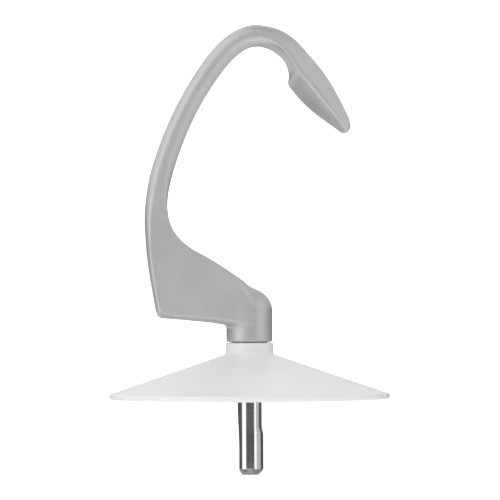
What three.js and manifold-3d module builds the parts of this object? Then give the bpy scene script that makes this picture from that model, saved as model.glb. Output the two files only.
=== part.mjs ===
// Dough hook with a dough deflector, the kneading tool of a compact stand mixer.
//
// Frame, in millimetres: the origin is the centre of the drive shaft's end face, +Z runs up the shaft
// towards the hook, +X points to the side that the hook's tip is on, and -Y is the front.
//
// Pieces: a die-cast hook with its hub, a steel drive shaft held in the hub, a plastic deflector that
// turns on the hub's spigot, and the washer and clip that keep the deflector on.

import * as THREE from "three";
import { mergeVertices } from "three/addons/utils/BufferGeometryUtils.js";
import Module from "manifold-3d";

const wasm = await Module();
wasm.setup();

// ---------------------------------------------------------------- driving dimensions

const GAP = 0.3; // left between pieces that touch
const FIT = 0.2; // left round the shaft where the hub grips it
const EDGE_R = 0.5; // breaks the edges of the spigot and the neck

const SHAFT_R = 5; // 10 mm bar
const SHAFT_TOP = 70; // the shaft ends inside the hub
const FREE_TOP = 30; // the shaft's free length ends here, under the deflector
const KEY = { top: 20.4, ramp: 4, rings: 4, size: 0.65 }; // raised on the +X side of the free length
const FLAT = { top: FREE_TOP, ramp: 20, rings: 5, size: 0.6 }; // pressed ever deeper into its -X side
const CHAMFER = { width: 1.5, height: 1.9 }; // round the free end
const GRIP = { bottom: 58, top: 62, depth: 0.7 }; // groove that locks the shaft endwise in the hub
const HOLD_FLAT = { height: 6, depth: 0.8 }; // keeps the shaft from turning in the hub

const HUB_R = 9.5;
const HUB_BOTTOM = 54.8;
const HUB_EDGE = 0.7; // chamfer round the hub's bottom
const DOME_Z = 67.4; // centre of the hub's half-round top
const SPIGOT_R = 7.4; // the deflector turns on this
const SPIGOT_BOTTOM = 46;

const WEB_EDGE_R = 4.2; // rounding of the web's outer edge
const WEB_BOTTOM_R = 2.8; // rounding of its bottom edge, near the hub
const CRISP_R = 0.8; // rounding of its top edge
const ARM_HALF = 4.5; // the arm is a 9 mm round bar

const NECK_R = 9.85;
const NECK_TOP = HUB_BOTTOM - GAP;
const NECK_BORE_R = SPIGOT_R + GAP;
const CONE_TOP = 49.75; // height of the cone's outer line at the neck's radius
const CONE_SLOPE = 0.344;
const CONE_WALL = 2.1; // measured along Z
const RIM_R = 58;
const RIM_BOTTOM = 31.2;
const COLLAR_BOTTOM = SPIGOT_BOTTOM + GAP;
const RIB_COUNT = 8;
const RIB_HEIGHT = 2.2;
const RIB_THICK = 1.6;
const RIB_END_R = 46;

const WASHER_R = 9.2;
const WASHER_THICK = 0.8;
const WASHER_TOP = SPIGOT_BOTTOM - GAP;
const CLIP_THICK = 1;
const CLIP_TOP = WASHER_TOP - WASHER_THICK - GAP;
const CLIP_R = 8;
const GROOVE_R = 4.3;

const ROUND = 48; // sides of a turned piece
const CONE_ROUND = 72; // sides of the wide cone
const SECTION_POINTS = 20; // points round the hook's section
const OUTSIDE = 1 / Math.cos(Math.PI / SECTION_POINTS); // puts the sides, not the corners, on a round outline
const RINGS_PER_STATION = 3;

// ---------------------------------------------------------------- materials

const steel = new THREE.MeshStandardMaterial({ color: 0xc9c9ca, roughness: 0.15, metalness: 1 });
const castMetal = new THREE.MeshStandardMaterial({ color: 0xabacad, roughness: 0.45, metalness: 0.6 });
const whitePlastic = new THREE.MeshStandardMaterial({ color: 0xe8e8e8, roughness: 0.35, metalness: 0 });

// ---------------------------------------------------------------- solids

// A three.js geometry as a manifold-3d solid.
function solidOf(geometry) {
  const bare = geometry.index ? geometry.toNonIndexed() : geometry;
  const points = new THREE.BufferGeometry().setAttribute("position", bare.getAttribute("position"));
  const merged = mergeVertices(points, 1e-4);
  const mesh = new wasm.Mesh({
    numProp: 3,
    vertProperties: merged.attributes.position.array,
    triVerts: new Uint32Array(merged.index.array),
  });
  return new wasm.Manifold(mesh);
}

function geometryOf(solid) {
  const mesh = solid.getMesh();
  return new THREE.BufferGeometry()
    .setAttribute("position", new THREE.BufferAttribute(mesh.vertProperties, 3))
    .setIndex(new THREE.BufferAttribute(mesh.triVerts, 1));
}

function named(name, geometry, material) {
  geometry.computeVertexNormals();
  const mesh = new THREE.Mesh(geometry, material);
  mesh.name = name;
  return mesh;
}

// Turns a profile of [radius, z] points about Z. The profile runs upwards on its outside.
function turned(profile, sides = ROUND) {
  const points = profile.map(([radius, z]) => new THREE.Vector2(radius, z));
  return new THREE.LatheGeometry(points, sides).rotateX(Math.PI / 2);
}

// Points of an arc in the profile plane, from one angle to another in degrees.
function arc(centreR, centreZ, radius, from, to, steps) {
  return Array.from({ length: steps + 1 }, (_, i) => {
    const angle = THREE.MathUtils.degToRad(from + ((to - from) * i) / steps);
    return [centreR + radius * Math.cos(angle), centreZ + radius * Math.sin(angle)];
  });
}

function box(sizeX, sizeY, sizeZ, x, y, z) {
  return new THREE.BoxGeometry(sizeX, sizeY, sizeZ).translate(x, y, z);
}

// ---------------------------------------------------------------- drive shaft

// The profile of the shaft above its drive end, grown all round by a margin to make the socket for it.
function buriedProfile(margin) {
  const r = SHAFT_R + margin;
  return [
    [r, FREE_TOP],
    [r, CLIP_TOP - CLIP_THICK - GAP],
    [GROOVE_R + margin, CLIP_TOP - CLIP_THICK - GAP],
    [GROOVE_R + margin, CLIP_TOP + GAP],
    [r, CLIP_TOP + GAP],
    [r, GRIP.bottom],
    [r - GRIP.depth, GRIP.bottom + GRIP.depth],
    [r - GRIP.depth, GRIP.top - GRIP.depth],
    [r, GRIP.top],
    [r, SHAFT_TOP - 0.6],
    [r - 0.6, SHAFT_TOP + margin],
    [0, SHAFT_TOP + margin],
  ];
}

// Cuts two flats at the buried end.
function withFlats(geometry, margin) {
  const cutter = 4 * SHAFT_R;
  const cutterY = SHAFT_R - HOLD_FLAT.depth + margin + cutter / 2;
  const cutterZ = SHAFT_TOP + margin - HOLD_FLAT.height + cutter / 2;
  return [-1, 1].reduce((solid, side) => {
    return solid.subtract(solidOf(box(cutter, cutter, cutter, 0, side * cutterY, cutterZ)));
  }, solidOf(geometry));
}

function shaftSocket() {
  return withFlats(turned([[0, FREE_TOP], ...buriedProfile(FIT)]), FIT);
}

// Presses a flat into the -X side and raises a key on the +X side of the free end.
function pressDriveEnd(geometry) {
  const position = geometry.attributes.position;
  for (let i = 0; i < position.count; i += 1) {
    const x = position.getX(i);
    const radius = Math.hypot(x, position.getY(i));
    const flat = grown(FLAT, position.getZ(i));
    const key = grown(KEY, position.getZ(i));
    if (flat > 0 && x < 0) position.setX(i, Math.max(x, (flat / SHAFT_R - 1) * radius));
    if (key > 0 && x > 0) position.setX(i, x + key * (x / SHAFT_R) ** 4);
  }
  return geometry;
}

// How far a flat or key stands at the height z: nothing above its top, its full size below its ramp.
function grown(feature, z) {
  return feature.size * THREE.MathUtils.smoothstep((feature.top - z) / feature.ramp, 0, 1);
}

function driveShaft() {
  const heights = [KEY, FLAT].flatMap(({ top, ramp, rings }) => {
    return Array.from({ length: rings + 1 }, (_, i) => top - ramp * i / rings);
  });
  const belowTop = heights.filter((z) => z < FREE_TOP).sort((a, b) => a - b);
  const ramp = belowTop.map((z) => [SHAFT_R, z]);
  const freeEnd = [[0, 0], [SHAFT_R - CHAMFER.width, 0], [SHAFT_R, CHAMFER.height], ...ramp];
  const bar = pressDriveEnd(turned([...freeEnd, ...buriedProfile(0)]));
  return named("drive_shaft", geometryOf(withFlats(bar, 0)), steel);
}

// ---------------------------------------------------------------- hook casting

// Stations along the hook, from inside the hub, along the web, up the arm and down to the tip.
// outer and inner are the [x, z] ends of the section, edge and innerEdge are the rounding there, and front
// and back are its half thicknesses. ridge is where its front crest stands between inner (0) and outer (1),
// and crest is how sharp that crest is. The web is as thick as the hub where they meet and thins towards
// the arm; its top edge is crisp and its other edges are round.
const web = (half, edge = WEB_EDGE_R, innerEdge = CRISP_R) => {
  return { edge, innerEdge, front: half, back: half, ridge: 0.5, crest: 0 };
};
const blade = { edge: ARM_HALF, innerEdge: ARM_HALF };
const bar = { ...blade, front: ARM_HALF, back: ARM_HALF, ridge: 0.5, crest: 0 };
const STATIONS = [
  { ...web(8.6, WEB_BOTTOM_R, 8), outer: [3, 60.5], inner: [3.1, 75.2] },
  { ...web(9.1, WEB_BOTTOM_R, 5), outer: [-6, 61.3], inner: [-2.3, 80] },
  { ...web(8.3, WEB_BOTTOM_R, 1.6), outer: [-15.9, 62.8], inner: [-7.1, 83.4] },
  { ...web(7.1, WEB_BOTTOM_R), outer: [-25.9, 63.8], inner: [-12.2, 86.8] },
  { ...web(6, 2.9), outer: [-33.9, 64.5], inner: [-17.8, 90.2] },
  { ...web(5.3, 3.3), outer: [-37, 65], inner: [-23.8, 93.6] },
  { ...web(4.9, 3.8), outer: [-38.4, 66.9], inner: [-28, 97] },
  { ...web(4.6), outer: [-39.8, 74.1], inner: [-30.9, 100.7] },
  { ...web(4.4), outer: [-41.5, 84.1], inner: [-32.8, 104.8] },
  { ...web(4.3), outer: [-42.7, 95.1], inner: [-33.5, 108.9] },
  { ...web(4.3, WEB_EDGE_R, 1.4), outer: [-43.2, 107.2], inner: [-33.7, 112.3] },
  { ...web(4.4, ARM_HALF, 3), outer: [-41.6, 120.9], inner: [-32.7, 119.1] },
  { ...bar, outer: [-38.7, 131.3], inner: [-30.1, 128.5] },
  { ...bar, outer: [-33.5, 144.9], inner: [-25.3, 141.3] },
  { ...bar, outer: [-26.6, 158.5], inner: [-18.9, 154.1] },
  { ...bar, outer: [-17.5, 172.4], inner: [-10.4, 166.8] },
  { ...bar, outer: [-8.7, 181.4], inner: [-3.3, 174.1] },
  { ...bar, outer: [1, 185.8], inner: [2.3, 176.6] },
  { ...bar, outer: [10.8, 184.6], inner: [7.6, 175.9], ridge: 0.42, crest: 0.2 },
  { ...bar, outer: [17.4, 181.3], inner: [11.7, 173.6], ridge: 0.32, crest: 0.45, front: 4.7, back: 4.2 },
  { ...blade, outer: [22.2, 176.8], inner: [15, 170.1], ridge: 0.26, crest: 0.65, front: 4.9, back: 3.9 },
  { ...blade, outer: [25.5, 173], inner: [16.5, 165.5], ridge: 0.38, crest: 0.8, front: 5, back: 3.5 },
  { ...blade, outer: [27.9, 170.2], inner: [16.4, 161], ridge: 0.5, crest: 0.85, front: 5, back: 3.1 },
  { ...blade, outer: [30.5, 167], inner: [18.7, 157.7], ridge: 0.55, crest: 0.85, front: 4.8, back: 2.9 },
  { ...blade, outer: [33.8, 162.1], inner: [22.4, 153.4], ridge: 0.56, crest: 0.85, front: 4.4, back: 2.7 },
  { ...blade, outer: [36.8, 156.9], inner: [26.9, 149.3], ridge: 0.56, crest: 0.85, front: 3.9, back: 2.4 },
  { ...blade, outer: [39.3, 152], inner: [31.3, 146], ridge: 0.56, crest: 0.85, front: 3.3, back: 2.1 },
  { ...blade, outer: [41.4, 147.5], inner: [35.2, 143.2], ridge: 0.55, crest: 0.8, front: 2.6, back: 1.8 },
  { ...blade, outer: [42.2, 143.8], inner: [38.2, 141.1], ridge: 0.54, crest: 0.6, front: 1.9, back: 1.5 },
  { ...blade, outer: [41.5, 141.9], inner: [40.4, 141], ridge: 0.5, crest: 0, front: 0.7, back: 0.6 },
];

// A smooth curve through one number or point of every station.
function through(pick) {
  const points = STATIONS.map((station) => new THREE.Vector3(...pick(station)));
  return new THREE.CatmullRomCurve3(points, false, "catmullrom", 0.5);
}

// One ring of points: rounded ends joined by flats, drawn towards a three-cornered front where crest
// is above 0.
function sectionRing({ outer, inner, edge, innerEdge, front, back, ridge, crest }) {
  const middle = outer.clone().add(inner).multiplyScalar(0.5);
  const across = outer.clone().sub(inner);
  const half = across.length() / 2;
  across.normalize();
  const ridgeAt = (2 * ridge - 1) * half;
  return Array.from({ length: SECTION_POINTS }, (_, i) => {
    const angle = (2 * Math.PI * (i + 0.5)) / SECTION_POINTS;
    const c = Math.cos(angle) * OUTSIDE;
    const s = Math.sin(angle) * OUTSIDE;
    const end = Math.sign(c);
    const side = Math.sign(s);
    const depth = s > 0 ? front : back;
    const endR = Math.min(half, c > 0 ? edge : innerEdge);
    const sideR = Math.min(depth, endR);
    let u = end * (half - endR) + endR * c;
    let v = side * (depth - sideR) + sideR * s;
    if (s > 0) {
      const climb = 1 - Math.abs(angle - Math.PI / 2) / (Math.PI / 2);
      u = THREE.MathUtils.lerp(u, THREE.MathUtils.lerp(end * half, ridgeAt, climb), crest);
      v = THREE.MathUtils.lerp(v, front * climb, crest);
    }
    return middle.clone().addScaledVector(across, u).add(new THREE.Vector3(0, -v, 0));
  });
}

// Skins a list of rings and closes both ends with a fan.
function lofted(rings) {
  const sides = rings[0].length;
  const corners = rings.flat();
  const triangles = [];
  for (let ring = 0; ring + 1 < rings.length; ring += 1) {
    for (let i = 0; i < sides; i += 1) {
      const a = ring * sides + i;
      const b = ring * sides + ((i + 1) % sides);
      triangles.push(a, b, a + sides, b, b + sides, a + sides);
    }
  }
  const last = (rings.length - 1) * sides;
  for (let i = 1; i + 1 < sides; i += 1) {
    triangles.push(0, i + 1, i);
    triangles.push(last, last + i, last + i + 1);
  }
  return new THREE.BufferGeometry().setFromPoints(corners).setIndex(triangles);
}

function hookLoft() {
  const outerLine = through(({ outer }) => [outer[0], 0, outer[1]]);
  const innerLine = through(({ inner }) => [inner[0], 0, inner[1]]);
  const thickness = through(({ front, back, edge }) => [front, back, edge]);
  const crestLine = through(({ ridge, crest, innerEdge }) => [ridge, crest, innerEdge]);
  const count = (STATIONS.length - 1) * RINGS_PER_STATION;
  const rings = Array.from({ length: count + 1 }, (_, i) => {
    const t = i / count;
    const { x: front, y: back, z: edge } = thickness.getPoint(t);
    const { x: ridge, y: crestAt, z: innerEdge } = crestLine.getPoint(t);
    const crest = THREE.MathUtils.clamp(crestAt, 0, 1);
    const ends = { outer: outerLine.getPoint(t), inner: innerLine.getPoint(t) };
    return sectionRing({ ...ends, edge, innerEdge, front, back, ridge, crest });
  });
  return lofted(rings);
}

function hookCasting() {
  const hub = turned([
    [0, SPIGOT_BOTTOM],
    [SPIGOT_R - EDGE_R, SPIGOT_BOTTOM],
    [SPIGOT_R, SPIGOT_BOTTOM + EDGE_R],
    [SPIGOT_R, HUB_BOTTOM],
    [HUB_R - HUB_EDGE, HUB_BOTTOM],
    [HUB_R, HUB_BOTTOM + HUB_EDGE],
    ...arc(0, DOME_Z, HUB_R, 0, 80, 8),
    [0, DOME_Z + HUB_R],
  ]);
  const solid = solidOf(hookLoft()).add(solidOf(hub)).subtract(shaftSocket());
  return named("hook_casting", geometryOf(solid), castMetal);
}

// ---------------------------------------------------------------- dough deflector

function coneOuterZ(radius) {
  return CONE_TOP - (radius - NECK_R) * CONE_SLOPE;
}

function coneInnerZ(radius) {
  return coneOuterZ(radius) - CONE_WALL;
}

function deflectorShell() {
  const lipR = 1.1;
  const lipInner = RIM_R - 2.4;
  const lipOuter = RIM_R - 1.4;
  const coneStart = NECK_R + 1.6;
  return turned([
    [NECK_BORE_R, COLLAR_BOTTOM],
    [NECK_R, COLLAR_BOTTOM],
    [NECK_R, coneInnerZ(NECK_R)],
    [lipInner, coneInnerZ(lipInner)],
    [RIM_R - 1.6, RIM_BOTTOM],
    ...arc(RIM_R - lipR, RIM_BOTTOM + lipR, lipR, -90, 60, 4),
    [lipOuter, coneOuterZ(lipOuter)],
    [coneStart, coneOuterZ(coneStart)],
    [NECK_R + 0.45, coneOuterZ(NECK_R) + 0.35],
    [NECK_R, coneOuterZ(NECK_R) + 1.4],
    [NECK_R, NECK_TOP - EDGE_R],
    [NECK_R - EDGE_R, NECK_TOP],
    [NECK_BORE_R, NECK_TOP],
    [NECK_BORE_R, COLLAR_BOTTOM],
  ], CONE_ROUND);
}

// A low radial rib under the cone, from the collar out to RIB_END_R.
function rib(index) {
  const sunk = 1;
  const outline = new THREE.Shape([
    new THREE.Vector2(NECK_R - 0.6, coneInnerZ(NECK_R) + sunk),
    new THREE.Vector2(NECK_R - 0.6, coneInnerZ(NECK_R) - RIB_HEIGHT + 0.6),
    new THREE.Vector2(NECK_R + 2, coneInnerZ(NECK_R + 2) - RIB_HEIGHT),
    new THREE.Vector2(RIB_END_R - 4, coneInnerZ(RIB_END_R - 4) - RIB_HEIGHT),
    new THREE.Vector2(RIB_END_R, coneInnerZ(RIB_END_R) + sunk),
  ]);
  return new THREE.ExtrudeGeometry(outline, { depth: RIB_THICK, bevelEnabled: false })
    .translate(0, 0, -RIB_THICK / 2)
    .rotateX(Math.PI / 2)
    .rotateZ((2 * Math.PI * (index + 0.5)) / RIB_COUNT);
}

function doughDeflector() {
  let solid = solidOf(deflectorShell());
  for (let index = 0; index < RIB_COUNT; index += 1) solid = solid.add(solidOf(rib(index)));
  return named("dough_deflector", geometryOf(solid), whitePlastic);
}

// ---------------------------------------------------------------- washer and clip

function thrustWasher() {
  const boreR = SHAFT_R + GAP;
  const bottom = WASHER_TOP - WASHER_THICK;
  const profile = [
    [boreR, bottom],
    [WASHER_R, bottom],
    [WASHER_R, WASHER_TOP],
    [boreR, WASHER_TOP],
    [boreR, bottom],
  ];
  return named("thrust_washer", turned(profile), steel);
}

// An E-clip: an open ring with three lugs that reach into the shaft's groove.
function retainingClip() {
  const lugR = GROOVE_R + 0.15;
  const reliefR = SHAFT_R + 1.1;
  const openHalf = 40; // half the angle of the mouth, in degrees
  const lugs = [openHalf, 180, 360 - openHalf];
  const lugHalf = 16;
  const step = 5;
  const inner = [];
  for (let angle = openHalf; angle <= 360 - openHalf; angle += step) {
    const onLug = lugs.some((lug) => Math.abs(angle - lug) <= lugHalf);
    inner.push([angle, onLug ? lugR : reliefR]);
  }
  const outer = inner.map(([angle]) => [angle, CLIP_R]).reverse();
  const corners = [...outer, ...inner].map(([angle, radius]) => {
    const radians = THREE.MathUtils.degToRad(angle);
    return new THREE.Vector2(radius * Math.cos(radians), radius * Math.sin(radians));
  });
  const geometry = new THREE.ExtrudeGeometry(new THREE.Shape(corners), {
    depth: CLIP_THICK,
    bevelEnabled: false,
  }).translate(0, 0, CLIP_TOP - CLIP_THICK);
  return named("retaining_clip", geometry, steel);
}

// ---------------------------------------------------------------- assembly

const doughHook = new THREE.Group();
doughHook.add(hookCasting(), driveShaft(), doughDeflector(), thrustWasher(), retainingClip());

export default doughHook;
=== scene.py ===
import math

import bpy
import numpy as np
from mathutils import Matrix, Vector
from mathutils.bvhtree import BVHTree


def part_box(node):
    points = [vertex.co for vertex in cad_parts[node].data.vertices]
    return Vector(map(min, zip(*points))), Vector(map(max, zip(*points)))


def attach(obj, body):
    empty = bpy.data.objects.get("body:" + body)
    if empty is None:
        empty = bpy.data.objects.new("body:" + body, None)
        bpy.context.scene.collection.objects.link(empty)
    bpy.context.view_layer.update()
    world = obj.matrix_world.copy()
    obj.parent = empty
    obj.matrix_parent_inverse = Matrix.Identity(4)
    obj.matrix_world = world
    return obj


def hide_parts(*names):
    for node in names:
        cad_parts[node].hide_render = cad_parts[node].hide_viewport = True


# Looks for the dough hook: a cast hook on a steel shaft, with a white deflector that turns on its hub.
# Sizes are in millimetres here and are turned into metres when a mesh is made.

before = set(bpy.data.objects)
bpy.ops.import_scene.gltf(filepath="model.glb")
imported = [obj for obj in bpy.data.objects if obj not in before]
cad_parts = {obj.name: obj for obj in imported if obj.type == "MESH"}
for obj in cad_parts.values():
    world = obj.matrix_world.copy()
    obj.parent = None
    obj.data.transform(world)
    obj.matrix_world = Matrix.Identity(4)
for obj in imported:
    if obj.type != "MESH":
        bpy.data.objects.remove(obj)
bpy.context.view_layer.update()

MM = 0.001


def span_mm(node):
    """Lowest and highest corner of a CAD node, in millimetres."""
    low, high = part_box(node)
    return np.array(low) / MM, np.array(high) / MM


# ---------------------------------------------------------------- sizes from the frame

CAST_LOW, CAST_HIGH = span_mm("hook_casting")
SHAFT_HIGH = span_mm("drive_shaft")[1]
CONE_LOW, CONE_HIGH = span_mm("dough_deflector")
WASHER_LOW, WASHER_HIGH = span_mm("thrust_washer")
CLIP_LOW, CLIP_HIGH = span_mm("retaining_clip")

SHAFT_R = SHAFT_HIGH[1]
HUB_R = CAST_HIGH[1]
RIM_R = CONE_HIGH[0]
RIM_BOTTOM = CONE_LOW[2]
NECK_TOP = CONE_HIGH[2]
GAP = 0.3  # left between pieces that touch
HUB_BOTTOM = NECK_TOP + GAP
SPIGOT_BOTTOM = CAST_LOW[2]
SHAFT_TOP = SHAFT_HIGH[2]

# ---------------------------------------------------------------- mesh tools


def mesh_object(name, verts_mm, faces, materials):
    """A named object from vertices in millimetres."""
    mesh = bpy.data.meshes.new(name)
    mesh.from_pydata([tuple(v) for v in np.asarray(verts_mm) * MM], [], [tuple(f) for f in faces])
    mesh.validate()
    mesh.update()
    mesh.shade_smooth()
    for material in materials:
        mesh.materials.append(material)
    piece = bpy.data.objects.new(name, mesh)
    bpy.context.scene.collection.objects.link(piece)
    return piece


def lathe(profile, sides):
    """Vertices and faces of a profile of (radius, z) turned about Z.

    A profile that starts or ends on the axis gets one point there, and any other one closes on itself.
    """
    profile = [tuple(p) for p in profile]
    open_ends = profile[0][0] == 0 and profile[-1][0] == 0
    verts, rows = [], []
    for radius, z in profile:
        if radius == 0:
            rows.append([len(verts)] * sides)
            verts.append((0, 0, z))
            continue
        rows.append(list(range(len(verts), len(verts) + sides)))
        for i in range(sides):
            angle = 2 * math.pi * i / sides
            verts.append((radius * math.cos(angle), radius * math.sin(angle), z))
    pairs = list(zip(rows, rows[1:]))
    if not open_ends:
        pairs.append((rows[-1], rows[0]))
    faces = []
    for low, high in pairs:
        for i in range(sides):
            j = (i + 1) % sides
            corners = [low[i], low[j], high[j], high[i]]
            faces.append([c for n, c in enumerate(corners) if c != corners[n - 1]])
    return verts, faces


def arc(centre_r, centre_z, radius, start, end, steps):
    """Points of an arc in the profile plane, angles in degrees."""
    angles = np.radians(np.linspace(start, end, steps + 1))
    return [(centre_r + radius * math.cos(a), centre_z + radius * math.sin(a)) for a in angles]


def rounded(corners, radius, steps):
    """A closed outline of 2-D corners with every corner rounded by an arc-like curve. A corner can give
    its own radius as a third number."""
    out = []
    count = len(corners)
    for i, corner in enumerate(corners):
        here = Vector(corner[:2])
        reach = corner[2] if len(corner) > 2 else radius
        before = Vector(corners[i - 1][:2]) - here
        after = Vector(corners[(i + 1) % count][:2]) - here
        half_angle = before.angle(after) / 2
        cut = min(reach / math.tan(half_angle), before.length * 0.45, after.length * 0.45)
        first = here + before.normalized() * cut
        last = here + after.normalized() * cut
        for k in range(steps + 1):
            t = k / steps
            out.append(tuple(first * (1 - t) ** 2 + here * 2 * t * (1 - t) + last * t**2))
    return out


def apply_modifiers(piece):
    """Replaces a piece's mesh with what its modifiers make of it."""
    depsgraph = bpy.context.evaluated_depsgraph_get()
    made = bpy.data.meshes.new_from_object(piece.evaluated_get(depsgraph))
    old = piece.data
    piece.modifiers.clear()
    piece.data = made
    made.name = old.name
    bpy.data.meshes.remove(old)


def soften(piece, width_mm, angle=30):
    """Rounds the edges of a piece that are sharper than an angle."""
    bevel = piece.modifiers.new("soft_edges", "BEVEL")
    bevel.width = width_mm * MM
    bevel.segments = 2
    bevel.limit_method = "ANGLE"
    bevel.angle_limit = math.radians(angle)
    bevel.use_clamp_overlap = True
    apply_modifiers(piece)


def shade(piece, sharp_angle=50):
    """Smooth shading that keeps edges over sharp_angle crisp."""
    piece.data.shade_smooth()
    piece.data.set_sharp_from_angle(angle=math.radians(sharp_angle))


def only_material(piece, material):
    piece.data.materials.clear()
    piece.data.materials.append(material)


def boolean(piece, other, operation):
    """Joins other to piece or cuts it away, and deletes other."""
    step = piece.modifiers.new("join", "BOOLEAN")
    step.operation = operation
    step.solver = "EXACT"
    step.object = other
    apply_modifiers(piece)
    bpy.data.objects.remove(other)


# ---------------------------------------------------------------- node tools


def new_material(name):
    material = bpy.data.materials.new(name)
    material.use_nodes = True
    tree = material.node_tree
    shader = tree.nodes["Principled BSDF"]
    return material, tree, shader


def node(tree, kind, settings=None, **inputs):
    """Adds a node, sets its settings and links or sets its inputs by name."""
    made = tree.nodes.new(kind)
    for key, value in (settings or {}).items():
        setattr(made, key, value)
    for key, value in inputs.items():
        socket = made.inputs[key.replace("_", " ")]
        if isinstance(value, bpy.types.NodeSocket):
            tree.links.new(value, socket)
        else:
            socket.default_value = value
    return made


def map_range(tree, value, low, high, to_low, to_high):
    made = node(tree, "ShaderNodeMapRange", Value=value)
    for key, number in zip(("From Min", "From Max", "To Min", "To Max"), (low, high, to_low, to_high)):
        made.inputs[key].default_value = number
    return made.outputs["Result"]


def mix_colour(tree, factor, one, two, blend="MIX"):
    made = tree.nodes.new("ShaderNodeMix")
    made.data_type = "RGBA"
    made.blend_type = blend
    sockets = [s for s in made.inputs if s.enabled]
    for socket, value in zip(sockets, (factor, one, two)):
        if isinstance(value, bpy.types.NodeSocket):
            tree.links.new(value, socket)
        else:
            socket.default_value = value
    return next(s for s in made.outputs if s.enabled)


def grey(value):
    return (value, value, value, 1)


# ---------------------------------------------------------------- materials

PAINTED_SHADE_TOP = 2.3  # the shaft's end is painted darker up to here: painted shade on its chamfer
PAINTED_SHADE_FADE = 0.3


def cast_metal():
    """Fine-grained matt casting: a light grey skin with a metallic sheen and a very fine tooth."""
    material, tree, shader = new_material("cast_aluminium")
    place = node(tree, "ShaderNodeTexCoord").outputs["Object"]
    fine = node(tree, "ShaderNodeTexNoise", Vector=place, Scale=2600.0, Detail=3.0, Roughness=0.6)
    broad = node(tree, "ShaderNodeTexNoise", Vector=place, Scale=60.0, Detail=4.0, Roughness=0.55)
    speck = map_range(tree, fine.outputs["Fac"], 0.3, 0.7, 0.0, 1.0)
    skin = mix_colour(tree, speck, grey(0.48), grey(0.56))
    patch = map_range(tree, broad.outputs["Fac"], 0.3, 0.7, 0.965, 1.03)
    tone = node(tree, "ShaderNodeCombineColor", Red=patch, Green=patch, Blue=patch)
    colour = mix_colour(tree, 1.0, skin, tone.outputs["Color"], "MULTIPLY")
    tree.links.new(colour, shader.inputs["Base Color"])
    rough = map_range(tree, broad.outputs["Fac"], 0.3, 0.7, 0.43, 0.48)
    tree.links.new(rough, shader.inputs["Roughness"])
    shader.inputs["Metallic"].default_value = 0.85
    bump = node(tree, "ShaderNodeBump", Height=fine.outputs["Fac"], Strength=0.3, Distance=0.00001)
    tree.links.new(bump.outputs["Normal"], shader.inputs["Normal"])
    return material


def polished_steel():
    """Ground and polished bar: near-mirror, with faint lines round the bar left by grinding. The chamfer
    at its end has painted shade: its colour is made dark so that it reflects less light."""
    material, tree, shader = new_material("polished_steel")
    place = node(tree, "ShaderNodeTexCoord").outputs["Object"]
    stretch = node(tree, "ShaderNodeMapping", Vector=place)
    stretch.inputs["Scale"].default_value = (0.02, 0.02, 1.0)
    lines = node(tree, "ShaderNodeTexNoise", Vector=stretch.outputs["Vector"], Scale=5200.0, Detail=4.0)
    smear = node(tree, "ShaderNodeTexNoise", Vector=place, Scale=90.0, Detail=3.0)
    rough = map_range(tree, smear.outputs["Fac"], 0.3, 0.7, 0.10, 0.17)
    tree.links.new(rough, shader.inputs["Roughness"])
    tint = map_range(tree, lines.outputs["Fac"], 0.3, 0.7, 0.0, 1.0)
    height = node(tree, "ShaderNodeSeparateXYZ", Vector=place).outputs["Z"]
    fade_end = PAINTED_SHADE_TOP + PAINTED_SHADE_FADE
    # painted shade: the chamfer's colour is darkened so that it reflects less of the bright room
    painted_dark_chamfer = map_range(tree, height, PAINTED_SHADE_TOP * MM, fade_end * MM, 1.0, 0.0)
    polished = mix_colour(tree, tint, grey(0.70), grey(0.78))
    tree.links.new(mix_colour(tree, painted_dark_chamfer, polished, grey(0.24)), shader.inputs["Base Color"])
    shader.inputs["Metallic"].default_value = 1.0
    bump = node(tree, "ShaderNodeBump", Height=lines.outputs["Fac"], Strength=0.12, Distance=0.00001)
    tree.links.new(bump.outputs["Normal"], shader.inputs["Normal"])
    return material


def white_plastic():
    """Semi-gloss moulded plastic with a faint waviness from the mould."""
    material, tree, shader = new_material("white_plastic")
    place = node(tree, "ShaderNodeTexCoord").outputs["Object"]
    wave = node(tree, "ShaderNodeTexNoise", Vector=place, Scale=35.0, Detail=2.0)
    grain = node(tree, "ShaderNodeTexNoise", Vector=place, Scale=1800.0, Detail=2.0)
    cloud = map_range(tree, wave.outputs["Fac"], 0.3, 0.7, 0.0, 1.0)
    colour = mix_colour(tree, cloud, grey(0.85), grey(0.87))
    tree.links.new(colour, shader.inputs["Base Color"])
    rough = map_range(tree, wave.outputs["Fac"], 0.3, 0.7, 0.30, 0.38)
    tree.links.new(rough, shader.inputs["Roughness"])
    bump = node(tree, "ShaderNodeBump", Height=grain.outputs["Fac"], Strength=0.08, Distance=0.00002)
    tree.links.new(bump.outputs["Normal"], shader.inputs["Normal"])
    return material


def rolled_steel(name, tone):
    """Satin strip steel with fine straight rolling marks."""
    material, tree, shader = new_material(name)
    place = node(tree, "ShaderNodeTexCoord").outputs["Object"]
    stretch = node(tree, "ShaderNodeMapping", Vector=place)
    stretch.inputs["Scale"].default_value = (0.04, 1.0, 1.0)
    marks = node(tree, "ShaderNodeTexNoise", Vector=stretch.outputs["Vector"], Scale=4000.0, Detail=3.0)
    tint = map_range(tree, marks.outputs["Fac"], 0.3, 0.7, 0.0, 1.0)
    tree.links.new(mix_colour(tree, tint, grey(tone * 0.9), grey(tone)), shader.inputs["Base Color"])
    shader.inputs["Metallic"].default_value = 1.0
    tree.links.new(map_range(tree, marks.outputs["Fac"], 0.3, 0.7, 0.25, 0.4), shader.inputs["Roughness"])
    bump = node(tree, "ShaderNodeBump", Height=marks.outputs["Fac"], Strength=0.15, Distance=0.00001)
    tree.links.new(bump.outputs["Normal"], shader.inputs["Normal"])
    return material


# ---------------------------------------------------------------- hook casting

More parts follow.
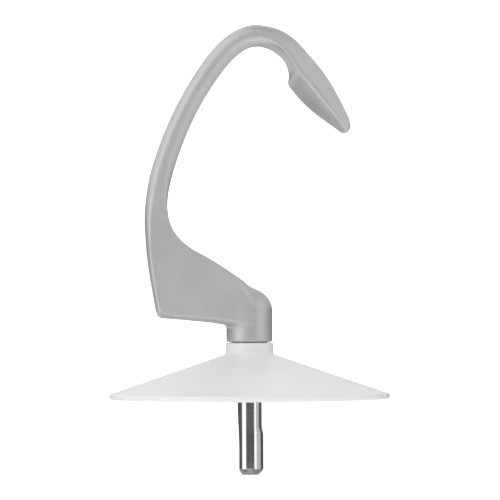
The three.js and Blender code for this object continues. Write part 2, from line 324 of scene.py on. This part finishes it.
# Stations along the hook from inside the hub to the tip: the (x, z) ends of the section on its outer and
# inner side, the rounding at each of those ends, the half thickness in front and behind, where the front
# crest stands between inner (0) and outer (1), and how sharp the crest is. The web is as thick as the hub
# where they meet and thins towards the arm; its top edge is crisp and its other edges are round.
ARM_HALF = 4.5
CRISP_R = 0.8
ROUND_R = 4.2
BAR = (ARM_HALF, ARM_HALF, ARM_HALF, ARM_HALF, 0.5, 0.0)
STATIONS = [
    ((3, 60.5), (3.1, 75.2), 2.8, 8.0, 8.6, 8.6, 0.5, 0.0),
    ((-6, 61.3), (-2.3, 80), 2.8, 5.0, 9.1, 9.1, 0.5, 0.0),
    ((-15.9, 62.8), (-7.1, 83.4), 2.8, 1.6, 8.3, 8.3, 0.5, 0.0),
    ((-25.9, 63.8), (-12.2, 86.8), 2.8, CRISP_R, 7.1, 7.1, 0.5, 0.0),
    ((-33.9, 64.5), (-17.8, 90.2), 2.9, CRISP_R, 6.0, 6.0, 0.5, 0.0),
    ((-37, 65), (-23.8, 93.6), 3.3, CRISP_R, 5.3, 5.3, 0.5, 0.0),
    ((-38.4, 66.9), (-28, 97), 3.8, CRISP_R, 4.9, 4.9, 0.5, 0.0),
    ((-39.8, 74.1), (-30.9, 100.7), ROUND_R, CRISP_R, 4.6, 4.6, 0.5, 0.0),
    ((-41.5, 84.1), (-32.8, 104.8), ROUND_R, CRISP_R, 4.4, 4.4, 0.5, 0.0),
    ((-42.7, 95.1), (-33.5, 108.9), ROUND_R, 0.9, 4.3, 4.3, 0.5, 0.0),
    ((-43.2, 107.2), (-33.7, 112.3), ROUND_R, 1.4, 4.3, 4.3, 0.5, 0.0),
    ((-41.6, 120.9), (-32.7, 119.1), ARM_HALF, 3.0, 4.4, 4.4, 0.5, 0.0),
    ((-38.7, 131.3), (-30.1, 128.5), *BAR),
    ((-33.5, 144.9), (-25.3, 141.3), *BAR),
    ((-26.6, 158.5), (-18.9, 154.1), *BAR),
    ((-17.5, 172.4), (-10.4, 166.8), *BAR),
    ((-8.7, 181.4), (-3.3, 174.1), *BAR),
    ((1, 185.8), (2.3, 176.6), *BAR),
    ((10.8, 184.6), (7.6, 175.9), ARM_HALF, ARM_HALF, ARM_HALF, ARM_HALF, 0.42, 0.2),
    ((17.4, 181.3), (11.7, 173.6), ARM_HALF, ARM_HALF, 4.7, 4.2, 0.32, 0.45),
    ((22.2, 176.8), (15, 170.1), ARM_HALF, ARM_HALF, 4.9, 3.9, 0.26, 0.65),
    ((25.5, 173), (16.5, 165.5), ARM_HALF, ARM_HALF, 5, 3.5, 0.38, 0.8),
    ((27.9, 170.2), (16.4, 161), ARM_HALF, ARM_HALF, 5, 3.1, 0.5, 0.85),
    ((30.5, 167), (18.7, 157.7), ARM_HALF, ARM_HALF, 4.8, 2.9, 0.55, 0.85),
    ((33.8, 162.1), (22.4, 153.4), ARM_HALF, ARM_HALF, 4.4, 2.7, 0.56, 0.85),
    ((36.8, 156.9), (26.9, 149.3), ARM_HALF, ARM_HALF, 3.9, 2.4, 0.56, 0.85),
    ((39.3, 152), (31.3, 146), ARM_HALF, ARM_HALF, 3.3, 2.1, 0.56, 0.85),
    ((41.4, 147.5), (35.2, 143.2), ARM_HALF, ARM_HALF, 2.6, 1.8, 0.55, 0.8),
    ((42.2, 143.8), (38.2, 141.1), ARM_HALF, ARM_HALF, 1.9, 1.5, 0.54, 0.6),
    ((41.5, 141.9), (40.4, 141), ARM_HALF, ARM_HALF, 0.7, 0.6, 0.5, 0.0),
]
SECTION_POINTS = 96
RINGS_PER_STATION = 22
CREST_ROUND = 0.09  # rounding of the front crest, as a share of the half section
VOXEL = 0.42
FILLET = 1.6  # how far the web and the hub flow into each other
DOME_Z = 67.4  # centre of the hub's half-round top
HUB_EDGE_R = 0.7  # rounding of the hub's bottom edge
SPIGOT_R = 7.4  # the deflector turns on this
EDGE = 0.5  # chamfer of the spigot, and of the hub before it settles
FIT = 0.2  # left round the shaft where the hub grips it
OVERLAP = 2  # how far the spigot reaches into the hub before they are joined
INSET = 0.06  # keeps the finer skin inside the CAD's outline
SETTLING_ROUNDS = 5
LONGEST_MOVE = 0.6


def spline(rows, t):
    """Uniform Catmull-Rom curve through rows, at t from 0 to 1."""
    rows = np.asarray(rows, float)
    ends = np.vstack([2 * rows[0] - rows[1], rows, 2 * rows[-1] - rows[-2]])
    place = np.clip(t, 0, 1) * (len(rows) - 1)
    i = np.minimum(place.astype(int), len(rows) - 2)
    f = (place - i)[:, None]
    a, b, c, d = (ends[i + k] for k in range(4))
    return 0.5 * (2 * b + (c - a) * f + (2 * a - 5 * b + 4 * c - d) * f**2 + (3 * b - a - 3 * c + d) * f**3)


def hook_skin():
    """The hook as one fine loft through the stations."""
    t = np.linspace(0, 1, (len(STATIONS) - 1) * RINGS_PER_STATION + 1)
    outer = spline([s[0] for s in STATIONS], t)
    inner = spline([s[1] for s in STATIONS], t)
    outer_edge, inner_edge, front, back, ridge, crest = spline([s[2:] for s in STATIONS], t).T[:, :, None]
    crest = np.clip(crest, 0, 1)
    across = outer - inner
    length = np.linalg.norm(across, axis=1)[:, None]
    half = length / 2 - INSET
    across = across / length
    middle = (outer + inner) / 2
    angle = 2 * np.pi * (np.arange(SECTION_POINTS) + 0.5) / SECTION_POINTS
    c, s = np.cos(angle)[None], np.sin(angle)[None]
    end = np.sign(c)
    end_r = np.minimum(half, np.where(c > 0, outer_edge, inner_edge))
    depth = np.where(s > 0, front, back)
    side_r = np.minimum(depth, end_r)
    u = end * (half - end_r) + end_r * c
    v = np.sign(s) * (depth - side_r) + side_r * s
    away = np.abs(angle - np.pi / 2)[None] / (np.pi / 2)
    drop = (np.sqrt(away**2 + CREST_ROUND**2) - CREST_ROUND) / (np.sqrt(1 + CREST_ROUND**2) - CREST_ROUND)
    u_crest = (2 * ridge - 1) * half * (1 - away) + end * half * away
    v_crest = front * (1 - drop)
    u = np.where(s > 0, u + (u_crest - u) * crest, u)
    v = np.where(s > 0, v + (v_crest - v) * crest, v)
    x = middle[:, :1] + across[:, :1] * u
    z = middle[:, 1:] + across[:, 1:] * u
    verts = np.stack([x, -v, z], axis=2).reshape(-1, 3)
    n = SECTION_POINTS
    faces = []
    for ring in range(len(t) - 1):
        for i in range(n):
            a, b = ring * n + i, ring * n + (i + 1) % n
            faces.append((a, b, b + n, a + n))
    faces.append(tuple(range(n))[::-1])
    faces.append(tuple(range((len(t) - 1) * n, len(t) * n)))
    return verts, faces


def hub_distance(points):
    """Signed distance to the hub without its spigot: a round-ended post with a rounded bottom edge."""
    radius = np.linalg.norm(points[:, :2], axis=1)
    over = np.maximum(points[:, 2] - DOME_Z, 0)
    dome = np.hypot(radius, over) - HUB_R
    past_side = dome + HUB_EDGE_R
    past_bottom = HUB_BOTTOM - points[:, 2] + HUB_EDGE_R
    outside = np.hypot(np.maximum(past_side, 0), np.maximum(past_bottom, 0))
    return outside + np.minimum(np.maximum(past_side, past_bottom), 0) - HUB_EDGE_R


def hub_profile():
    return [(0, HUB_BOTTOM), (HUB_R - EDGE, HUB_BOTTOM), (HUB_R, HUB_BOTTOM + EDGE),
            *arc(0, DOME_Z, HUB_R, 0, 88, 24), (0, DOME_Z + HUB_R)]


def settle_on_casting(verts, skin_tree):
    """Moves points onto the smooth union of the hook's skin and the hub."""
    points = verts.copy()
    step = 1e-3
    touching = 1e-4
    for _ in range(SETTLING_ROUNDS):
        near = [skin_tree.find_nearest(Vector(p)) for p in points]
        spot = np.array([tuple(n[0]) for n in near])
        normal = np.array([tuple(n[1]) for n in near])
        offset = points - spot
        apart = np.linalg.norm(offset, axis=1)
        inside = (np.einsum("ij,ij->i", offset, normal) < 0) & (apart < 2 * VOXEL)
        skin = apart * np.where(inside, -1, 1)
        close = np.abs(skin) < touching
        skin_way = np.where(close[:, None], normal, offset / np.where(close, 1, skin)[:, None])
        hub = hub_distance(points)
        hub_way = np.stack([hub_distance(points + step * axis) - hub_distance(points - step * axis)
                            for axis in np.eye(3)], axis=1) / (2 * step)
        blend = np.clip(0.5 + 0.5 * (hub - skin) / FILLET, 0, 1)
        field = hub * (1 - blend) + skin * blend - FILLET * blend * (1 - blend)
        way = hub_way * (1 - blend)[:, None] + skin_way * blend[:, None]
        way /= np.maximum(np.linalg.norm(way, axis=1), 0.2)[:, None]
        points -= way * np.clip(field, -LONGEST_MOVE, LONGEST_MOVE)[:, None]
    return points


def remesh_evenly(piece):
    remesh = piece.modifiers.new("even", "REMESH")
    remesh.mode = "VOXEL"
    remesh.voxel_size = VOXEL * MM
    apply_modifiers(piece)


def move_vertices(piece, move):
    """Runs a piece's vertices, in millimetres, through a function."""
    mesh = piece.data
    flat = np.empty(len(mesh.vertices) * 3)
    mesh.vertices.foreach_get("co", flat)
    moved = move(flat.reshape(-1, 3) / MM)
    mesh.vertices.foreach_set("co", (moved * MM).ravel())
    mesh.update()


def hook_casting(material):
    skin_verts, skin_faces = hook_skin()
    triangles = []
    for face in skin_faces:
        triangles.extend((face[0], face[i], face[i + 1]) for i in range(1, len(face) - 1))
    skin_tree = BVHTree.FromPolygons([tuple(v) for v in skin_verts], triangles)
    hub_verts, hub_faces = lathe(hub_profile(), 128)
    first = len(skin_verts)
    verts = np.vstack([skin_verts, hub_verts])
    faces = skin_faces + [[first + corner for corner in face] for face in hub_faces]
    piece = mesh_object("hook_casting_finished", verts, faces, [material])
    for _ in range(2):
        remesh_evenly(piece)
        move_vertices(piece, lambda verts: settle_on_casting(verts, skin_tree))
    spigot = [(0, SPIGOT_BOTTOM), (SPIGOT_R - EDGE, SPIGOT_BOTTOM), (SPIGOT_R, SPIGOT_BOTTOM + EDGE),
              (SPIGOT_R, HUB_BOTTOM + OVERLAP), (0, HUB_BOTTOM + OVERLAP)]
    boolean(piece, mesh_object("spigot", *lathe(spigot, 128), []), "UNION")
    socket_r, socket_bottom, socket_top = SHAFT_R + FIT, SPIGOT_BOTTOM - 1, SHAFT_TOP + FIT
    socket = [(0, socket_bottom), (socket_r, socket_bottom), (socket_r, socket_top), (0, socket_top)]
    boolean(piece, mesh_object("socket", *lathe(socket, 96), []), "DIFFERENCE")
    shade(piece)
    only_material(piece, material)
    return piece


# ---------------------------------------------------------------- drive shaft

KEY_TOP = 20.4  # the key on the +X side starts here and grows downwards over its ramp
KEY_RAMP = 4
KEY_HEIGHT = 0.65
FLAT_TOP = 30  # the flat on the -X side does the same
FLAT_RAMP = 20
FLAT_DEPTH = 0.6
GROOVE_R = 4.3
GROOVE_EDGE = 0.15


def grown(z, top, ramp):
    """How far a flat or key has grown at the height z: nothing above its top, all of it below its ramp."""
    depth = np.clip((top - z) / ramp, 0, 1)
    return depth**2 * (3 - 2 * depth)


def drive_shaft(material):
    clip_top, clip_bottom = CLIP_HIGH[2] + GAP, CLIP_LOW[2] - GAP
    chamfer = [(0, 0), (3.35, 0), (3.5, 0.04), (3.65, 0.16), (4.78, 1.6), (4.9, 1.85), (4.97, 2.15)]
    plain = [(SHAFT_R, z) for z in np.linspace(2.5, FLAT_TOP, 60)]
    groove = [(SHAFT_R, clip_bottom - GROOVE_EDGE), (SHAFT_R - 0.1, clip_bottom),
              (GROOVE_R + 0.05, clip_bottom + 0.05), (GROOVE_R, clip_bottom + GROOVE_EDGE),
              (GROOVE_R, clip_top - GROOVE_EDGE), (GROOVE_R + 0.05, clip_top - 0.05),
              (SHAFT_R - 0.1, clip_top), (SHAFT_R, clip_top + GROOVE_EDGE)]
    top_edge = 0.6
    top = [(SHAFT_R, SHAFT_TOP - top_edge), (SHAFT_R - top_edge, SHAFT_TOP), (0, SHAFT_TOP)]
    profile = chamfer + plain + groove + top
    verts, faces = lathe(profile, 160)
    verts = np.array(verts)
    x = verts[:, 0].copy()
    radius = np.hypot(x, verts[:, 1])
    flat_x = (FLAT_DEPTH * grown(verts[:, 2], FLAT_TOP, FLAT_RAMP) / SHAFT_R - 1) * radius
    key = KEY_HEIGHT * grown(verts[:, 2], KEY_TOP, KEY_RAMP)
    verts[:, 0] = np.where(x < 0, np.maximum(x, flat_x), x + key * (x / SHAFT_R) ** 4)
    piece = mesh_object("drive_shaft_finished", verts, faces, [material])
    shade(piece, 20)
    return piece


# ---------------------------------------------------------------- dough deflector

CONE_TOP = 49.75  # height of the cone's outer line at the neck's radius
CONE_SLOPE = 0.344
CONE_WALL = 2.1  # measured along Z
NECK_R = 9.85
NECK_BORE_R = 7.7
RIB_COUNT = 8
RIB_HEIGHT = 2.2
RIB_THICK = 1.6
RIB_END_R = 46


def cone_outer(radius):
    return CONE_TOP - (radius - NECK_R) * CONE_SLOPE


def cone_inner(radius):
    return cone_outer(radius) - CONE_WALL


def deflector_profile():
    """The neck, cone and lip as corners of (radius, z, rounding)."""
    collar_bottom = SPIGOT_BOTTOM + GAP
    lip_r = 1.15
    corners = [
        (NECK_BORE_R, collar_bottom, 0.3),
        (NECK_R, collar_bottom, 0.5),
        (NECK_R, cone_inner(NECK_R), 1.2),
        (RIM_R - 2.6, cone_inner(RIM_R - 2.6), 0.8),
        (RIM_R - 2.0, RIM_BOTTOM, 0.5),
        (RIM_R, RIM_BOTTOM, lip_r),
        (RIM_R, cone_outer(RIM_R - 1.0) + 0.1, lip_r),
        (RIM_R - 1.6, cone_outer(RIM_R - 1.6), 3.0),
        (NECK_R, cone_outer(NECK_R), 1.6),
        (NECK_R, NECK_TOP, 0.5),
        (NECK_BORE_R, NECK_TOP, 0.3),
    ]
    return rounded(corners, 0.5, 8)


def deflector_rib(index, material):
    """One low radial rib with rounded edges, sunk into the cone's underside."""
    sunk = 1.0
    inner_r, outer_r = NECK_R - 0.6, RIB_END_R
    outline = [
        (inner_r, cone_inner(inner_r) + sunk),
        (inner_r, cone_inner(NECK_R) - RIB_HEIGHT + 0.6),
        (NECK_R + 2, cone_inner(NECK_R + 2) - RIB_HEIGHT),
        (outer_r - 4, cone_inner(outer_r - 4) - RIB_HEIGHT),
        (outer_r, cone_inner(outer_r) + sunk),
    ]
    half = RIB_THICK / 2
    count = len(outline)
    verts = [(r, side, z) for side in (-half, half) for r, z in outline]
    faces = [tuple(range(count)), tuple(range(count, 2 * count))[::-1]]
    for i in range(count):
        j = (i + 1) % count
        faces.append((i, i + count, j + count, j))
    piece = mesh_object(f"rib_{index}", verts, faces, [material])
    soften(piece, 0.25)
    piece.data.transform(Matrix.Rotation(2 * math.pi * (index + 0.5) / RIB_COUNT, 4, "Z"))
    return piece


def dough_deflector(material):
    verts, faces = lathe(deflector_profile(), 256)
    piece = mesh_object("dough_deflector_finished", verts, faces, [material])
    for index in range(RIB_COUNT):
        boolean(piece, deflector_rib(index, material), "UNION")
    only_material(piece, material)
    shade(piece, 30)
    return piece


# ---------------------------------------------------------------- washer and clip


def thrust_washer(material):
    corners = [
        (SHAFT_R + GAP, WASHER_LOW[2]),
        (WASHER_HIGH[0], WASHER_LOW[2]),
        (WASHER_HIGH[0], WASHER_HIGH[2]),
        (SHAFT_R + GAP, WASHER_HIGH[2]),
    ]
    verts, faces = lathe(rounded(corners, 0.12, 3), 128)
    return mesh_object("thrust_washer_finished", verts, faces, [material])


def retaining_clip(material):
    """An E-clip: an open ring with three lugs that reach into the shaft's groove."""
    mouth, lug_half = 40, 16
    lug_r, relief_r, outer_r = GROOVE_R + 0.15, SHAFT_R + 1.1, 8.0
    ramp = 4  # degrees over which a lug rises
    angles = np.arange(mouth, 361 - mouth, 2.0)
    lug = np.zeros_like(angles)
    for centre in (mouth, 180, 360 - mouth):
        away = np.abs(angles - centre)
        lug = np.maximum(lug, np.clip((lug_half + ramp / 2 - away) / ramp, 0, 1))
    inner = relief_r + (lug_r - relief_r) * lug
    around = np.radians(angles)
    loop = [(outer_r * math.cos(a), outer_r * math.sin(a)) for a in around[::-1]]
    loop += [(r * math.cos(a), r * math.sin(a)) for a, r in zip(around, inner)]
    count = len(loop)
    levels = [CLIP_LOW[2], CLIP_HIGH[2]]
    verts = [(x, y, z) for z in levels for x, y in loop]
    faces = [tuple(range(count)), tuple(range(count, 2 * count))[::-1]]
    for i in range(count):
        j = (i + 1) % count
        faces.append((i, i + count, j + count, j))
    piece = mesh_object("retaining_clip_finished", verts, faces, [material])
    soften(piece, 0.12, 60)
    shade(piece, 35)
    return piece


# ---------------------------------------------------------------- build

steel = polished_steel()
parts = [
    (hook_casting(cast_metal()), "hook_casting", "hook", "cast_aluminium"),
    (drive_shaft(steel), "drive_shaft", "hook", "polished_steel"),
    (retaining_clip(rolled_steel("clip_steel", 0.5)), "retaining_clip", "hook", "clip_steel"),
    (dough_deflector(white_plastic()), "dough_deflector", "deflector", "white_plastic"),
    (thrust_washer(rolled_steel("washer_steel", 0.6)), "thrust_washer", "deflector", "washer_steel"),
]
for piece, replaced, body, finish in parts:
    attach(piece, body)
    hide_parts(replaced)

# ---------------------------------------------------------------- stage, light and camera

SWEEP_GLOW = 0.8
BASE_GLOW = 0.1
# Panels of light as (azimuth, width, elevation, height, edge, strength), in degrees, with azimuth 0 in
# front of the tool and positive towards +X. Between them the room stays dark, which the steel shows.
PANELS = [
    # level with the tool: the tall left bank, the bright strip on the right and the dim bank beyond it
    (-56, 40, 9, 70, 5, 1.4),
    (53, 20, -1, 16, 3, 1.2),
    (80, 34, -1, 16, 5, 0.5),
    # a ring just above
    (-108, 60, 25, 40, 4, 1.0),
    (-12, 46, 25, 40, 4, 0.7),
    (26, 30, 25, 40, 6, 0.7),
    (70, 60, 25, 40, 4, 0.9),
    (125, 50, 27, 38, 8, 0.7),
    (186, 72, 27, 38, 8, 0.7),
    # a ring just below
    (-106, 56, -34, 50, 6, 1.0),
    (-8, 54, -33, 50, 6, 1.3),
    (32, 26, -33, 50, 6, 0.9),
    (72, 54, -33, 50, 6, 0.9),
    (125, 50, -33, 50, 8, 0.6),
    (180, 110, -33, 50, 12, 0.4),
    # what the floor throws back, and the roof, brighter on the left
    (0, 360, -76, 34, 8, 1.1),
    (0, 360, 58, 28, 8, 0.6),
    (-110, 180, 58, 28, 20, 0.5),
    (0, 360, 85, 26, 8, 0.4),
]
VIEW_CENTRE = (0.37, 0, 92.8)
VIEW_DISTANCE = 2550
VIEW_WIDTH = 206.6  # how much of the world the picture spans at that distance
VIEW_ROLL = -0.2  # degrees
SWEEP_TOP = -0.3  # just under the shaft's end


def studio_sweep(radius=5000, height=4500, bend=1500):
    """A pale floor that curves up into a pale wall and roof all round. It only shows and catches shadow:
    the light comes from the world."""
    material, tree, shader = new_material("pale_sweep")
    place = node(tree, "ShaderNodeTexCoord").outputs["Object"]
    cloud = node(tree, "ShaderNodeTexNoise", Vector=place, Scale=3.0)
    tint = map_range(tree, cloud.outputs["Fac"], 0.3, 0.7, 0.0, 1.0)
    tree.links.new(mix_colour(tree, tint, grey(0.78), grey(0.8)), shader.inputs["Base Color"])
    shader.inputs["Roughness"].default_value = 0.9
    shader.inputs["Emission Color"].default_value = grey(1.0)
    shader.inputs["Emission Strength"].default_value = SWEEP_GLOW
    side = arc(radius - bend, SWEEP_TOP + bend, bend, -80, 80, 16)[1:]
    profile = [(0, SWEEP_TOP), (radius - bend, SWEEP_TOP), *side, (radius - bend, height), (0, height)]
    verts, faces = lathe(profile, 96)
    piece = mesh_object("studio_sweep", verts, [f[::-1] for f in faces], [material])
    piece.visible_diffuse = False
    piece.visible_glossy = False
    piece.visible_transmission = False
    piece.visible_shadow = False


def studio_world(panels, base):
    """Soft panels of light all round the tool, over an even base."""
    made = bpy.data.worlds.new("studio")
    made.use_nodes = True
    tree = made.node_tree
    way = node(tree, "ShaderNodeTexCoord").outputs["Generated"]
    up = node(tree, "ShaderNodeSeparateXYZ", Vector=way).outputs["Z"]

    def maths(operation, one, two=0.0):
        step = tree.nodes.new("ShaderNodeMath")
        step.operation = operation
        for socket, value in zip(step.inputs, (one, two)):
            if isinstance(value, bpy.types.NodeSocket):
                tree.links.new(value, socket)
            else:
                socket.default_value = value
        return step.outputs["Value"]

    def along(direction):
        step = node(tree, "ShaderNodeVectorMath", {"operation": "DOT_PRODUCT"})
        tree.links.new(way, step.inputs[0])
        step.inputs[1].default_value = direction
        return step.outputs["Value"]

    def within(value, width, edge):
        step = node(tree, "ShaderNodeMapRange", {"interpolation_type": "SMOOTHSTEP"}, Value=value)
        ends = (math.radians(width - edge) / 2, math.radians(width + edge) / 2, 1.0, 0.0)
        for key, number in zip(("From Min", "From Max", "To Min", "To Max"), ends):
            step.inputs[key].default_value = number
        return step.outputs["Result"]

    lift = maths("ARCSINE", up)
    total = None
    for azimuth, width, elevation, height, edge, strength in panels:
        a = math.radians(azimuth)
        front, side = along((math.sin(a), -math.cos(a), 0)), along((math.cos(a), math.sin(a), 0))
        turn = maths("ABSOLUTE", maths("ARCTAN2", side, front))
        rise = maths("ABSOLUTE", maths("SUBTRACT", lift, math.radians(elevation)))
        glow = maths("MULTIPLY", maths("MULTIPLY", within(turn, width, edge), within(rise, height, edge)),
                     strength)
        total = glow if total is None else maths("ADD", total, glow)
    background = tree.nodes["Background"]
    tree.links.new(maths("ADD", total, base), background.inputs["Strength"])
    background.inputs["Color"].default_value = grey(1.0)
    bpy.context.scene.world = made


def camera():
    """A long lens level with the middle of the tool, straight at its front."""
    centre = Vector(VIEW_CENTRE) * MM
    data = bpy.data.cameras.new("camera")
    data.sensor_width = 36
    data.lens = data.sensor_width * VIEW_DISTANCE / VIEW_WIDTH
    data.clip_start = 0.05
    data.clip_end = 50
    made = bpy.data.objects.new("camera", data)
    bpy.context.scene.collection.objects.link(made)
    place = Matrix.Translation(centre + Vector((0, -VIEW_DISTANCE * MM, 0)))
    upright = Matrix.Rotation(math.pi / 2, 4, "X")
    made.matrix_world = place @ upright @ Matrix.Rotation(math.radians(VIEW_ROLL), 4, "Z")
    bpy.context.scene.camera = made


studio_sweep()
studio_world(PANELS, BASE_GLOW)
camera()
bpy.context.scene.view_settings.view_transform = "Standard"
